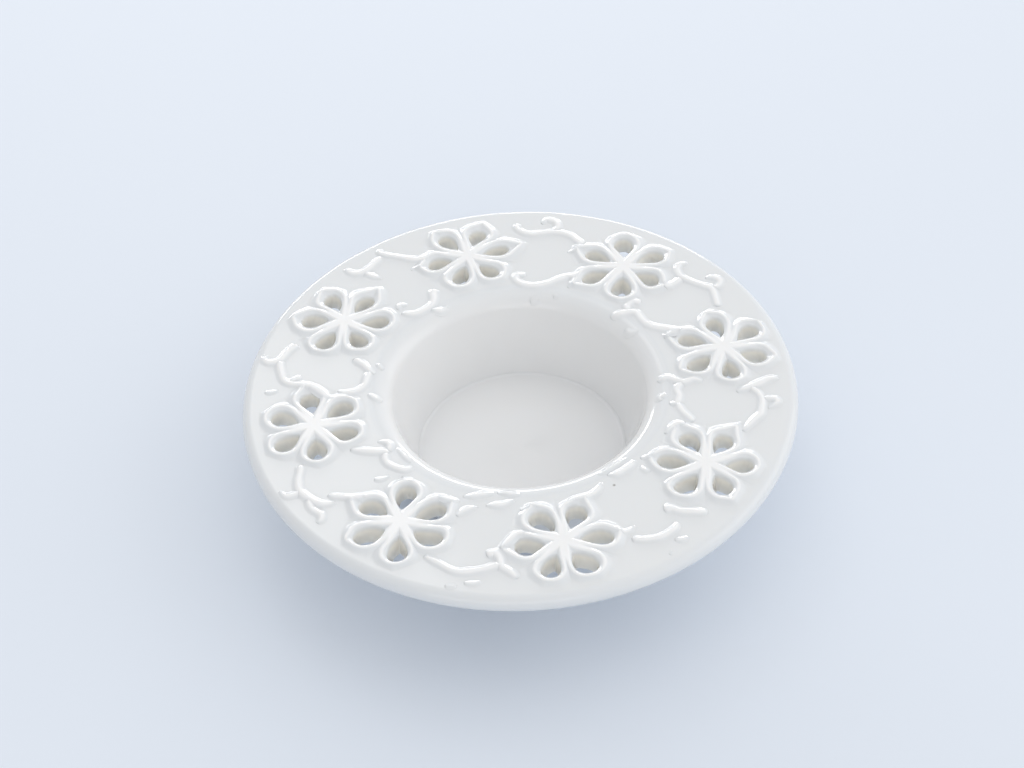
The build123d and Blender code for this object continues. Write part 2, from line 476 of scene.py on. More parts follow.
@dataclass(frozen=True)
class PiercedRim(Piece):
    """Flat rim with a full round edge and eight pierced flowers whose petals have raised rims."""

    plate: PlateFrame
    name: str = "flower_rim"
    node: str = "pierced_rim"
    flowers: tuple[Flower, ...] = FLOWERS
    petal_count: int = 6
    petal_centre: float = 7.15
    petal_round: float = 2.95
    petal_start: float = 1.3
    tip_round: float = 0.4
    ridge_height: float = 0.68
    outer_slope: float = 1.7
    inner_slope: float = 1.65
    web_flat: float = 2.2
    web_slope: float = 5.5
    web_share: float = 0.97
    keenness: float = 0.4
    hole_middle: float = 6.25
    hole_half_length: float = 3.25
    hole_half_width: float = 2.7
    hole_narrowing: float = 0.42
    hole_points: int = 48
    patch_reach: float = 11.9
    patch_side: float = 10.9
    patch_limit: float = 52.9
    patch_fade: float = 0.3
    patch_hem: float = 0.1
    patch_rings: int = 14
    throat: tuple[Pair, ...] = ((0.1, 0.1), (0.22, 0.28), (0.32, 0.55), (0.4, 0.95), (0.44, 1.4))
    spoon_shift: float = 0.3
    spoon_shrink: float = 0.86
    under_ease: float = 0.3
    under_ring: float = 0.25
    edge_ring: float = 0.1
    edge_segments: int = 16
    wander: float = 0.7
    wander_length: float = 7.0
    wander_power: int = 3

    @property
    def thickness(self) -> float:
        """Thickness of the rim."""
        return self.plate.top - self.plate.rim_under

    @property
    def sector(self) -> float:
        """Half the angle that one petal takes, in radians."""
        return pi / self.petal_count

    def patch_edge(self, flower: Flower, number: int) -> tuple[Vector, float]:
        """Straight outer edge of a petal's share of the flower, with room for its tip.

        Args:
            flower: the flower.
            number: the petal's number in its flower.

        Returns:
            The direction that the edge faces, and its distance from the flower's centre.
        """
        past, _ = flower.tips[number].value
        bearing = radians(flower.turn) + self.petal_turn(number)
        sideways = flower.radius * sin(bearing)
        room = sqrt(self.patch_limit**2 - sideways**2) - flower.radius * cos(bearing)
        corner = Vector((min(self.patch_reach + past, room), 0))
        run = corner - self.patch_side * Vector((cos(self.sector), sin(self.sector)))
        facing = Vector((-run.y, run.x)).normalized()
        return facing, facing.dot(corner)

    def petal_turn(self, number: int) -> float:
        """Angle of a petal from the flower's outward direction, in radians."""
        return self.sector * (1 + 2 * number)

    def rim_distance(self, x: float, y: float, tip: Tip) -> float:
        """Distance outside the crest of a petal's raised rim.

        Args:
            x: place along the petal, from the flower's centre.
            y: place across it.
            tip: how the petal ends.

        Returns:
            The distance to the crest, below zero inside the petal.
        """
        along = x - self.petal_centre
        distance = drop_distance(y, -along, self.petal_round, 0, self.petal_centre - self.petal_start)
        if tip is Tip.ROUND:
            return distance
        past, left = tip.value
        run = Vector((self.petal_round + past - self.tip_round, left))
        heading = run.normalized()
        tip_across = y * heading.x - along * heading.y
        tip_along = along * heading.x + y * heading.y
        run_out = drop_distance(tip_across, tip_along, self.petal_round, self.tip_round, run.length)
        return min(distance, run_out)

    def crest_distance(self, place: Vector, flower: Flower, number: int) -> float:
        """Distance outside the nearest crest of a petal and its neighbours.

        Args:
            place: point in the petal's plan, with X along the petal.
            flower: the flower.
            number: the petal's number in its flower.

        Returns:
            The distance, below zero inside a petal.
        """
        distances = []
        for step in (-1, 0, 1):
            tip = flower.tips[(number + step) % self.petal_count]
            turn = 2 * self.sector * step
            x = place.x * cos(turn) + place.y * sin(turn)
            y = place.y * cos(turn) - place.x * sin(turn)
            distances.append(self.rim_distance(x, y, tip))
        return min(distances)

    def relief(self, place: Vector, flower: Flower, number: int) -> float:
        """Height of a petal's raised rim and its neighbours' above the plate.

        Args:
            place: point in the petal's plan, with X along the petal.
            flower: the flower.
            number: the petal's number in its flower.

        Returns:
            The height in millimetres.
        """
        nearest = self.crest_distance(place, flower, number)
        facing, reach = self.patch_edge(flower, number)
        margin = max(reach - facing.x * place.x - facing.y * abs(place.y) - self.patch_hem, 0)
        if nearest < 0:
            share = keen_ridge(nearest / self.inner_slope, self.keenness)
        else:
            web = self.web_share * bell(max(place.length - self.web_flat, 0) / self.web_slope)
            slope = min(self.outer_slope, max(nearest + margin, WELD))
            share = web + (1 - web) * keen_ridge(nearest / slope, self.keenness)
        fade = 1 - bell(margin / self.patch_fade)
        return self.ridge_height * share * fade

    def locate(self, place: Vector) -> tuple[Vector, Flower, int]:
        """Find the petal that is nearest to a point of the plan.

        Args:
            place: point of the plan.

        Returns:
            The point in the petal's own plan, its flower and its number there.
        """
        flower = min(self.flowers, key=lambda other: (polar(other.angle, other.radius) - place).length)
        local = flower.matrix(0).inverted() @ place
        number = int(atan2(local.y, local.x) % (2 * pi) // (2 * self.sector))
        return Matrix.Rotation(-self.petal_turn(number), 4, "Z") @ local, flower, number

    def lift(self, place: Vector) -> float:
        """Height of the flowers' relief over a point of the plan."""
        return self.relief(*self.locate(place))

    def is_clear(self, place: Vector) -> bool:
        """Whether a point of the plan lies outside the petals."""
        return self.crest_distance(*self.locate(place)) > 0

    def hole_edge(self, unit: Vector, opening: float) -> Vector:
        """Point of a petal hole's edge, in the petal's plan.

        Args:
            unit: the same point on the unit circle.
            opening: how far the flower is cut open.

        Returns:
            The point, with X along the petal.
        """
        narrowing = cos(atan2(unit.y, unit.x) * self.hole_narrowing)
        return Vector((
            self.hole_middle + opening * self.hole_half_length * unit.x,
            opening * self.hole_half_width * unit.y * narrowing,
            0,
        ))

    def sector_edge(self, place: Vector, flower: Flower, number: int) -> Vector:
        """Point where a line from the hole's middle leaves the petal's share of the flower.

        Args:
            place: point of the hole's edge that the line passes through.
            flower: the flower.
            number: the petal's number in its flower.

        Returns:
            The point on the sector's sides or on its straight outer edge.
        """
        run = Vector((place.x - self.hole_middle, abs(place.y)))
        reaches = []
        towards_side = run.y * cos(self.sector) - run.x * sin(self.sector)
        if towards_side > WELD:
            reaches.append(self.hole_middle * sin(self.sector) / towards_side)
        facing, reach_out = self.patch_edge(flower, number)
        towards_out = facing.dot(run)
        if towards_out > WELD:
            reaches.append((reach_out - facing.x * self.hole_middle) / towards_out)
        reach = min(reaches)
        side = 1 if place.y > 0 else -1
        return Vector((self.hole_middle + run.x * reach, side * run.y * reach, 0))

    def petal_mesh(self, flower: Flower, number: int) -> Mesh:
        """Make one petal: its raised rim and the hole through it.

        Args:
            flower: flower that the petal belongs to.
            number: the petal's number in its flower.

        Returns:
            The petal in its place on the plate.
        """
        bm = bmesh.new()
        loop, edge_verts = circle_loop(bm, self.hole_points)
        for vert in edge_verts:
            vert.co = self.hole_edge(vert.co, flower.opening)
        _, border = grow_loop(bm, loop)
        for vert in border:
            vert.co = self.sector_edge(vert.co, flower, number)
        border_set = set(border)
        spokes = [
            edge for vert in edge_verts for edge in vert.link_edges
            if border_set.intersection(edge.verts)
        ]
        bmesh.ops.subdivide_edges(bm, edges=spokes, cuts=self.patch_rings, use_grid_fill=True)
        for vert in bm.verts:
            vert.co.z = self.relief(vert.co, flower, number)
        self.add_throat(bm, loop)
        place = flower.matrix(self.plate.top) @ Matrix.Rotation(self.petal_turn(number), 4, "Z")
        bmesh.ops.transform(bm, matrix=place, verts=bm.verts[:])
        return make_mesh(bm, "petal")

    def add_throat(self, bm: BMesh, loop: list[BMEdge]) -> None:
        """Carry a hole's edge over its rounding and down through the rim.

        Args:
            bm: mesh of the rim.
            loop: the hole's upper edge, in the petal's plan.
        """
        middle = Matrix.Translation((-self.hole_middle, 0, 0))
        inset, depth = 0.0, 0.0
        for next_inset, next_depth in self.throat:
            loop, verts = grow_loop(bm, loop)
            factors = [
                (half - next_inset) / (half - inset)
                for half in (self.hole_half_length, self.hole_half_width)
            ]
            bmesh.ops.scale(bm, vec=(*factors, 1), space=middle, verts=verts)
            bmesh.ops.translate(bm, vec=(0, 0, depth - next_depth), verts=verts)
            inset, depth = next_inset, next_depth
        loop, verts = grow_loop(bm, loop)
        bmesh.ops.scale(bm, vec=(self.spoon_shrink, self.spoon_shrink, 1), space=middle, verts=verts)
        bmesh.ops.translate(bm, vec=(self.spoon_shift, 0, 0), verts=verts)
        for vert in verts:
            vert.co.z = self.under_ease - self.thickness
        for ease in (self.under_ease, self.under_ring):
            loop, verts = grow_loop(bm, loop)
            growth = 1 + ease / self.hole_half_width
            bmesh.ops.scale(bm, vec=(growth, growth, 1), space=middle, verts=verts)
            for vert in verts:
                vert.co.z = -self.thickness

    def add_edge(self, bm: BMesh) -> None:
        """Add the full round outer edge and the wall of the joint with the well.

        Args:
            bm: mesh of the rim.
        """
        plate = self.plate
        half = self.thickness / 2
        flat = plate.rim_radius - half
        start = bm.verts.new((flat - self.edge_ring, 0, plate.top))
        crest = bm.verts.new((flat, 0, plate.top))
        bm.edges.new((start, crest))
        turned = bmesh.ops.spin(
            bm, geom=[crest], axis=(0, 1, 0), cent=(flat, 0, plate.top - half), angle=pi,
            steps=self.edge_segments,
        )["geom_last"]
        last = next(item for item in turned if isinstance(item, BMVert))
        end = bm.verts.new((flat - self.edge_ring, 0, plate.rim_under))
        bm.edges.new((last, end))
        upper = bm.verts.new((plate.joint_radius, 0, plate.top))
        lower = bm.verts.new((plate.joint_radius, 0, plate.rim_under))
        bm.edges.new((upper, lower))
        spin_all(bm)

    def add_wander(self, bm: BMesh) -> None:
        """Shift the work a little from place to place, as hands do, and leave the rim's edges.

        Args:
            bm: mesh of the rim or of a scroll on it.
        """
        plate = self.plate
        middle = (plate.joint_radius + plate.rim_radius) / 2
        reach = (plate.rim_radius - plate.joint_radius) / 2
        for vert in bm.verts:
            radius = vert.co.xy.length
            amount = self.wander * bell(((radius - middle) / reach) ** self.wander_power)
            place = Vector((vert.co.x, vert.co.y, 0)) / self.wander_length
            shift = noise.noise_vector(place)
            vert.co.x += amount * shift.x
            vert.co.y += amount * shift.y

    def shape(self, bm: BMesh) -> None:
        """Make the edge, the flowers and the flats between them.

        Args:
            bm: empty mesh that takes them.
        """
        self.add_edge(bm)
        for flower in self.flowers:
            for number in range(self.petal_count):
                petal = self.petal_mesh(flower, number)
                bm.from_mesh(petal)
                bpy.data.meshes.remove(petal)
        bmesh.ops.remove_doubles(bm, verts=bm.verts[:], dist=WELD)
        top, under = self.plate.top, self.plate.rim_under
        for height, facing in ((top, UP), (under, -UP)):
            rims = [edge for edge in bm.edges if edge.is_boundary and lies_at(edge, height)]
            bmesh.ops.triangle_fill(bm, use_beauty=True, use_dissolve=False, edges=rims, normal=facing)
        self.add_wander(bm)
        rises = bm.verts.layers.float.new(RISE)
        for vert in bm.verts:
            vert[rises] = max(vert.co.z - top, 0)


@dataclass(frozen=True)
class Stroke:
    """One trailed stroke: its points in degrees and millimetres from the axis, fullness and ends."""

    points: tuple[Pair, ...]
    fullness: float = 1.0
    end: End = End.TAPER
    start: End = End.TAPER


OUTER_TRAILS = (
    (
        Stroke(
            ((25.5, 46.2), (28.5, 47.4), (31.7, 48.4), (34.5, 47.7), (37.5, 46.6), (40.3, 46),
             (42.6, 46.9), (43.3, 48.4), (42.2, 50)),
            start=End.MEETS,
        ),
        Stroke(((32, 48.4), (31.7, 49.9), (33, 51), (34.8, 50.8), (36, 49.6)), 0.85, start=End.MEETS),
        Stroke(((40.3, 41), (39.7, 43.5), (39.8, 45.9)), 0.85, End.MEETS, End.MEETS),
    ),
    (
        Stroke(
            ((69.5, 44.5), (72, 45.3), (74.1, 46.3), (76.9, 47.1), (79.6, 47.2), (82.3, 46.6),
             (84.7, 46), (87, 46.5), (88.5, 47.9), (88.1, 49.6)),
            start=End.MEETS,
        ),
        Stroke(
            ((78.7, 47.3), (77.8, 48.9), (78.6, 50.5), (80.8, 51), (82.2, 49.7)), 0.85, start=End.MEETS,
        ),
        Stroke(((70.3, 42.3), (72, 41.9), (73.6, 41.5)), 0.75, End.FINE, End.MEETS),
    ),
    (
        Stroke(
            ((112.8, 44.2), (116.5, 44.6), (118.8, 46), (120.8, 47.7), (122.8, 49.3),
             (123.6, 50.9), (122.6, 52)),
            start=End.MEETS,
        ),
        Stroke(
            ((133.2, 51.8), (132.8, 49.2), (131, 48), (128.3, 48.4), (125.9, 49.1), (124, 50)),
            end=End.FINE,
        ),
        Stroke(((131, 47.8), (130, 45.6), (128.7, 44)), 0.75, End.FINE, End.MEETS),
        Stroke(((117.6, 42.6), (119.2, 42.7), (120.7, 42.3)), 0.75, End.FINE, End.MEETS),
    ),
    (
        Stroke(
            ((161.2, 47), (163.8, 48.2), (167.2, 49.5), (168.3, 51.2), (167.7, 52.3), (166.2, 52.7)),
            start=End.BALL,
        ),
        Stroke(
            ((167.2, 49.4), (170.6, 48.5), (173.4, 47.6), (174.8, 46.3), (175.2, 44.3),
             (175.9, 41.8), (177.5, 40.1), (179.6, 38.8), (181.3, 37.6), (182.2, 36)),
            start=End.MEETS,
        ),
        Stroke(((177.8, 50.6), (178, 49.2), (177.7, 47.8)), 0.75, End.FINE),
        Stroke(((174.7, 46.2), (173.2, 45.3), (172.4, 43.8)), 0.8, End.BALL, End.MEETS),
    ),
    (
        Stroke(
            ((203.6, 46.4), (205.4, 47.1), (207.8, 48.6), (210.5, 49.6), (213.3, 49.2),
             (216.3, 48.4), (218, 47.2), (218.8, 45.7)),
            start=End.MEETS,
        ),
        Stroke(((210.7, 49.6), (210.8, 51.2), (210.1, 52.3), (208.3, 52.7)), 0.85, End.FINE, End.MEETS),
        Stroke(
            ((213.6, 49.2), (217, 50), (219.5, 49.7), (220.6, 50.4), (220.9, 51.6)), 0.85,
            start=End.MEETS,
        ),
        Stroke(
            ((225, 39.6), (222.1, 40.8), (220.1, 42.5), (218, 44.1), (215.6, 45.8)), start=End.MEETS,
        ),
    ),
    (
        Stroke(
            ((246.3, 47.4), (249.8, 48.1), (253.2, 48.8), (255.9, 48.7), (259.3, 47.8),
             (262, 46.6), (263.7, 46.2)),
            end=End.MEETS,
        ),
        Stroke(
            ((267.6, 49.6), (265.7, 47.6), (263.8, 46.4), (263.1, 44.8), (261.6, 43.7), (259.7, 44.3)),
            end=End.BALL,
        ),
        Stroke(((263, 43), (264.8, 41), (266.9, 39.1), (269.5, 38.7)), 0.85, End.MEETS, End.FINE),
        Stroke(((259.8, 50.8), (258.2, 51.2), (256.4, 51.3)), 0.75),
        Stroke(((255.2, 52.2), (252.8, 52.7)), 0.7),
    ),
    (
        Stroke(
            ((294.3, 45.6), (297.1, 47), (300.5, 48), (303.9, 47.8), (306.3, 46.8)), start=End.MEETS,
        ),
        Stroke(((313, 49.2), (311.1, 47), (309.1, 45.4), (308, 43.8), (306.3, 42.9)), end=End.BALL),
        Stroke(((305.5, 51.1), (304, 50.9), (302.4, 50.1)), 0.75),
        Stroke(((300.3, 52.1), (299.3, 52.5)), 0.6),
        Stroke(((293.3, 43.2), (295.5, 43.4), (297.8, 43)), 0.8, End.FINE, End.MEETS),
    ),
    (
        Stroke(((357.9, 51), (357.9, 49), (356.3, 46.7), (354.8, 44.7), (353, 42.7)), end=End.FINE),
        Stroke(
            ((354.9, 45.2), (353, 46.8), (350.3, 48), (346.2, 48.1), (343.5, 47), (339.7, 45.6)),
            start=End.MEETS,
        ),
        Stroke(
            ((351.3, 48), (351.5, 50), (350.6, 51), (349.2, 50.4), (348.2, 49.4)), 0.8,
            End.FINE, End.MEETS,
        ),
        Stroke(((339.3, 43.4), (341, 43.9), (342.7, 44.4)), 0.85, End.FINE, End.MEETS),
    ),
)
INNER_TRAILS = (
    (
        Stroke(
            ((20, 38), (21.7, 36), (24.1, 34), (27.5, 32), (30.4, 31.1), (33.6, 31), (37.7, 31.4),
             (39.8, 30.9), (41.8, 29.4), (44.2, 27.1)),
            start=End.MEETS,
        ),
        Stroke(((40.2, 30.6), (43.1, 31.5), (43, 33.2), (40.8, 34.5)), 0.9, End.BALL, End.MEETS),
        Stroke(((34.6, 27), (31.6, 27.1), (29.5, 28.6)), 0.75, End.FINE),
        Stroke(((21.8, 35.9), (21.1, 34), (20.7, 31.9)), 0.8, End.FINE, End.MEETS),
    ),
    (
        Stroke(
            ((66.5, 35.2), (68.5, 34.5), (70.7, 33.9), (74.1, 32), (77.5, 30.5), (80.9, 29.8),
             (84.4, 29.8), (87.2, 30.4), (88.9, 31.6), (88.2, 33), (85.2, 33.1)),
            start=End.MEETS,
        ),
        Stroke(((68.4, 30.4), (66, 31.8)), 0.8),
        Stroke(((72.8, 27.3), (70.8, 27.9)), 0.6),
        Stroke(((83, 26.3), (79, 26.7)), 0.6),
    ),
    (
        Stroke(
            ((135.6, 33), (133.8, 31.5), (131.5, 30.5), (128.3, 30.2), (124.5, 30.4), (121.8, 31.6),
             (120, 33.2), (118.4, 34.2)),
            end=End.BALL,
        ),
        Stroke(((135.3, 34.4), (133.1, 34.8), (130.8, 33.9)), 0.9, End.FINE),
        Stroke(((126, 29.6), (124.2, 28.3), (121.5, 27.8), (119, 28.1)), 0.8, End.FINE),
    ),
    (
        Stroke(((163.2, 34.6), (165.3, 32), (167.8, 30.4), (169.5, 29.3)), start=End.MEETS),
        Stroke(((163.4, 29.6), (166.2, 28)), 0.75),
        Stroke(
            ((178.3, 36), (178.8, 34), (178.1, 32), (175.5, 30.9), (171.5, 30.6), (168, 30.2)), 0.9,
            End.MEETS,
        ),
        Stroke(((180.3, 30), (182.5, 28.6), (184, 27.2)), 0.8),
    ),
    (
        Stroke(
            ((205.2, 36.3), (207.1, 34.5), (209.2, 32.6), (211.2, 31.1), (212.8, 30.8)), end=End.MEETS,
        ),
        Stroke(
            ((212.3, 30.8), (213.6, 31.9), (216.7, 32.5), (220.1, 32.1), (222.8, 31.2), (224.6, 29.6)),
            start=End.MEETS,
        ),
        Stroke(((219.2, 36.9), (220.9, 36), (221.6, 34.6)), 0.85, End.FINE),
        Stroke(((205.6, 31), (207.3, 29.7), (209.5, 29.4), (212.2, 30.6)), 0.8, End.MEETS, End.FINE),
        Stroke(((222, 29.1), (217, 28.6), (212, 28.7)), 0.6, End.FINE, End.FINE),
        Stroke(((229.8, 32.3), (227.5, 32.5), (224.6, 33.1)), 0.75, End.FINE),
    ),
    (
        Stroke(((249, 36.2), (251.1, 34.1), (254.4, 32.7)), 0.85, End.FINE),
        Stroke(((266, 30.4), (262.7, 31.5), (259.7, 31.9), (256.7, 32.1)), 0.85, End.FINE),
        Stroke(((247.9, 31.1), (251, 30.5), (254.5, 29.6), (258.6, 29)), 0.8, End.FINE, End.FINE),
        Stroke(((259.5, 28.8), (263.5, 28.8), (268.3, 29.1)), 0.75, End.FINE, End.FINE),
        Stroke(((268, 33.3), (270, 32.7), (274.8, 32.7)), 0.8, End.FINE),
        Stroke(((248, 32.6), (245, 32.7), (240.3, 33.2)), 0.8, End.FINE),
    ),
    (
        Stroke(((284.5, 32.2), (291.3, 32.6), (294.6, 32.1), (298.2, 30.7)), 0.9, End.FINE),
        Stroke(
            ((314.3, 30.4), (311, 30.8), (307.5, 30.8), (304.4, 30.6), (301.8, 29.7)), 0.9, End.FINE,
        ),
        Stroke(((313, 34.8), (312.5, 33.4), (313, 32.2)), 0.8),
        Stroke(((316, 30.9), (318.4, 31.8), (321, 31.5)), 0.8, End.FINE),
        Stroke(((313, 28.9), (306, 28.7), (299, 28.8)), 0.55, End.FINE, End.FINE),
    ),
    (
        Stroke(((357, 36.3), (358.2, 34.4), (357.3, 32.6), (358.6, 31), (360.2, 29.3), (358.6, 27.4))),
        Stroke(
            ((357.2, 32.2), (354, 31.1), (350.5, 31.6), (347, 31.3), (346, 30)), 0.9, start=End.MEETS,
        ),
        Stroke(((351.2, 29.3), (349.3, 27.9), (347.3, 28.3)), 0.85),
        Stroke(((347.2, 31.4), (343, 32.8), (339.5, 35.4)), 0.9, End.MEETS, End.MEETS),
        Stroke(((338.6, 33.8), (336, 32.2), (330.8, 31.5)), 0.85, End.FINE, End.MEETS),
    ),
)


@dataclass(frozen=True)
class ScrollTrails(Piece):
    """Trailed strokes between two flowers, low ridges that follow the surface under them."""

    name: str
    node: str
    well: CandleWell
    rim: PiercedRim
    strokes: tuple[Stroke, ...]
    sharp_angle: float = 80.0
    half_width: float = 1.4
    height: float = 0.55
    keenness: float = 0.35
    sunk: float = 0.3
    foot: float = 0.012
    section_points: int = 24
    steps_per_span: int = 8
    swing_part: int = 6
    end_length: float = 1.2
    taper_length: float = 2.6
    lump: float = 0.15
    lump_length: float = 2.5
    least_fullness: float = 0.03

    def spine(self, stroke: Stroke) -> list[Vector]:
        """Points of a smooth line through a stroke's own points.

        Args:
            stroke: the stroke.

        Returns:
            Points close together, on the plan.
        """
        knots = [polar(angle, radius) for angle, radius in stroke.points]
        before = [2 * knots[0] - knots[1]] + knots[:-1]
        after = knots[1:] + [2 * knots[-1] - knots[-2]]
        swings = [(later - earlier) / self.swing_part for earlier, later in zip(before, after)]
        line = [knots[0]]
        for index in range(len(knots) - 1):
            span = interpolate_bezier(
                knots[index], knots[index] + swings[index], knots[index + 1] - swings[index + 1],
                knots[index + 1], self.steps_per_span + 1,
            )
            line.extend(span[1:])
        return line

    def fullness(self, stroke: Stroke, walked: float, length: float) -> float:
        """How full a stroke is along its way: full in the middle, with the ends that it was given.

        Args:
            stroke: the stroke.
            walked: distance from the start.
            length: length of the whole stroke.

        Returns:
            The share of the full width.
        """
        share = stroke.fullness
        for end, away in ((stroke.start, walked), (stroke.end, length - walked)):
            share *= 1 + (end.value - 1) * bell(away / self.taper_length)
        nearest = max(min(walked, length - walked) / self.end_length, 0)
        rounding = sqrt(1 - (1 - min(nearest, 1)) ** 2)
        return max(share * rounding, self.least_fullness)

    def add_stroke(self, bm: BMesh, stroke: Stroke) -> None:
        """Draw a ridge's section along a stroke and close its ends.

        Args:
            bm: mesh that the stroke joins.
            stroke: the stroke.
        """
        line = [point for point in self.spine(stroke) if self.rim.is_clear(point)]
        steps = [(after - before).length for before, after in zip(line, line[1:])]
        length = sum(steps)
        loop, verts = circle_loop(bm, self.section_points)
        ends = [loop]
        for vert in verts:
            crest = keen_ridge(vert.co.x, self.keenness) - self.foot / self.height
            vert.co = (0, vert.co.x, crest if vert.co.y > -WELD else -self.sunk / self.height)
        placed = Matrix.Identity(4)
        walked = 0.0
        for index, point in enumerate(line):
            if index:
                loop, verts = grow_loop(bm, loop)
                walked += steps[index - 1]
            heading = line[min(index + 1, len(line) - 1)] - line[max(index - 1, 0)]
            share = self.fullness(stroke, walked, length)
            share *= 1 + self.lump * noise.noise(point / self.lump_length)
            across = UP.cross(heading.normalized()) * self.half_width * sqrt(share)
            rise = UP * self.height * share
            matrix = Matrix((heading.normalized(), across, rise)).transposed().to_4x4()
            matrix.translation = point
            bmesh.ops.transform(bm, matrix=matrix @ placed.inverted(), verts=verts)
            placed = matrix
        ends.append(loop)
        for rim in ends:
            bmesh.ops.edgeloop_fill(bm, edges=rim)

    def shape(self, bm: BMesh) -> None:
        """Draw the strokes and set them on the surface.

        Args:
            bm: empty mesh that takes them.
        """
        for stroke in self.strokes:
            self.add_stroke(bm, stroke)
        rises = bm.verts.layers.float.new(RISE)
        for vert in bm.verts:
            vert[rises] = max(vert.co.z, 0)
            lift = self.rim.lift(Vector((vert.co.x, vert.co.y, 0)))
            if vert.co.z > 0:
                vert.co.z *= 1 - lift / self.rim.ridge_height
            vert.co.z += lift + self.well.surface(vert.co.xy.length)
        self.rim.add_wander(bm)


class NodeSheet:
    """Short hand for placing and joining shader nodes in a tree."""

    # Inputs and output of a Mix node that carry colours
    MIX_FIRST = 6
    MIX_SECOND = 7
    MIX_RESULT = 2

    def __init__(self, tree: NodeTree) -> None:
        """Keep the tree that the nodes go into."""
        self.tree = tree

    def feed(self, node: Node, inputs: Inputs) -> None:
        """Link a node's inputs, or set them.

        Args:
            node: the node.
            inputs: what each input takes.
        """
        for key, value in inputs.items():
            if isinstance(value, NodeSocket):
                self.tree.links.new(value, node.inputs[key])
            else:
                node.inputs[key].default_value = value

    def add(self, kind: str, inputs: Inputs | None = None, **settings: object) -> Node:
        """Add a node, set its properties and feed its inputs.

        Args:
            kind: type of the node.
            inputs: what each input takes.
            settings: values of its properties.

        Returns:
            The new node.
        """
        node = self.tree.nodes.new(kind)
        for key, value in settings.items():
            setattr(node, key, value)
        self.feed(node, inputs or {})
        return node

    def math(self, operation: str, first: object, second: object) -> NodeSocket:
        """Output of a Math node on two sockets or numbers."""
        return self.add("ShaderNodeMath", {0: first, 1: second}, operation=operation).outputs[0]

    def vector_math(self, operation: str, first: object, second: object, output: str) -> NodeSocket:
        """Output of a Vector Math node on two sockets or vectors."""
        node = self.add("ShaderNodeVectorMath", {0: first, 1: second}, operation=operation)
        return node.outputs[output]

    def ramp(self, value: NodeSocket, low: float, high: float, unit: float = 1.0) -> NodeSocket:
        """Share of the way from one value to another, held between 0 and 1 and eased.

        Args:
            value: socket to read.
            low: value that gives 0.
            high: value that gives 1.
            unit: what low and high are measured in.

        Returns:
            The share.
        """
        node = self.add(
            "ShaderNodeMapRange", {"Value": value, "From Min": low * unit, "From Max": high * unit},
            interpolation_type="SMOOTHSTEP",
        )
        return node.outputs["Result"]

    def noise(self, vector: NodeSocket, scale: NodeSocket, detail: float) -> NodeSocket:
        """Noise from 0 to 1, with a scale in waves to the metre and a number of finer layers."""
        node = self.add("ShaderNodeTexNoise", {"Vector": vector, "Scale": scale, "Detail": detail})
        return node.outputs["Fac"]

    def blend(self, share: NodeSocket, first: NodeSocket | Colour, second: Colour) -> NodeSocket:
        """Mix two colours.

        Args:
            share: how much of the second colour shows.
            first: socket or colour.
            second: colour.

        Returns:
            The mixed colour.
        """
        ground = first if isinstance(first, NodeSocket) else (*first, 1)
        node = self.add(
            "ShaderNodeMix", {"Factor": share, self.MIX_FIRST: ground, self.MIX_SECOND: (*second, 1)},
            data_type="RGBA",
        )
        return node.outputs[self.MIX_RESULT]


class SharedEffects:
    """Node groups that more than one finish uses, each built once."""

    WAVE_DETAIL = 1.0
    SKIN_DETAIL = 2.0

    def __init__(self) -> None:
        """Build the groups."""
        self.ripple = self.build_ripple()
        self.specks = self.build_specks()

    @staticmethod
    def new_group(
        name: str, values: tuple[str, ...], results: tuple[str, ...],
    ) -> tuple[NodeSheet, Node, Node]:
        """Start a shader node group that takes a vector and some values.

        Args:
            name: the group's name.
            values: names of the values that it takes.
            results: names of the values that it gives.

        Returns:
            The group's sheet, its input node and its output node.
        """
        group = bpy.data.node_groups.new(name, "ShaderNodeTree")
        group.interface.new_socket(name="Vector", in_out="INPUT", socket_type="NodeSocketVector")
        for in_out, labels in (("INPUT", values), ("OUTPUT", results)):
            for label in labels:
                group.interface.new_socket(name=label, in_out=in_out, socket_type="NodeSocketFloat")
        sheet = NodeSheet(group)
        return sheet, sheet.add("NodeGroupInput"), sheet.add("NodeGroupOutput")

    def build_ripple(self) -> NodeTree:
        """Build slow waves, and a height of the waves with a fine skin on them.

        Returns:
            The group.
        """
        sheet, start, end = self.new_group(
            "surface_ripple", ("Wave", "Skin", "Skin Share"), ("Height", "Patches")
        )
        given = start.outputs
        wave = sheet.noise(given["Vector"], given["Wave"], self.WAVE_DETAIL)
        skin = sheet.noise(given["Vector"], given["Skin"], self.SKIN_DETAIL)
        fine = sheet.math("MULTIPLY", skin, given["Skin Share"])
        sheet.feed(end, {"Height": sheet.math("ADD", wave, fine), "Patches": wave})
        return sheet.tree

    def build_specks(self) -> NodeTree:
        """Build sparse round specks, as a mask.

        Returns:
            The group.
        """
        sheet, start, end = self.new_group("kiln_specks", ("Spacing", "Size", "Share"), ("Mask",))
        given = start.outputs
        cells = sheet.add(
            "ShaderNodeTexVoronoi", {"Vector": given["Vector"], "Scale": given["Spacing"]}
        )
        near = sheet.math("LESS_THAN", cells.outputs["Distance"], given["Size"])
        split = sheet.add("ShaderNodeSeparateColor", {"Color": cells.outputs["Color"]})
        chosen = sheet.math("LESS_THAN", split.outputs["Red"], given["Share"])
        sheet.feed(end, {"Mask": sheet.math("MULTIPLY", near, chosen)})
        return sheet.tree


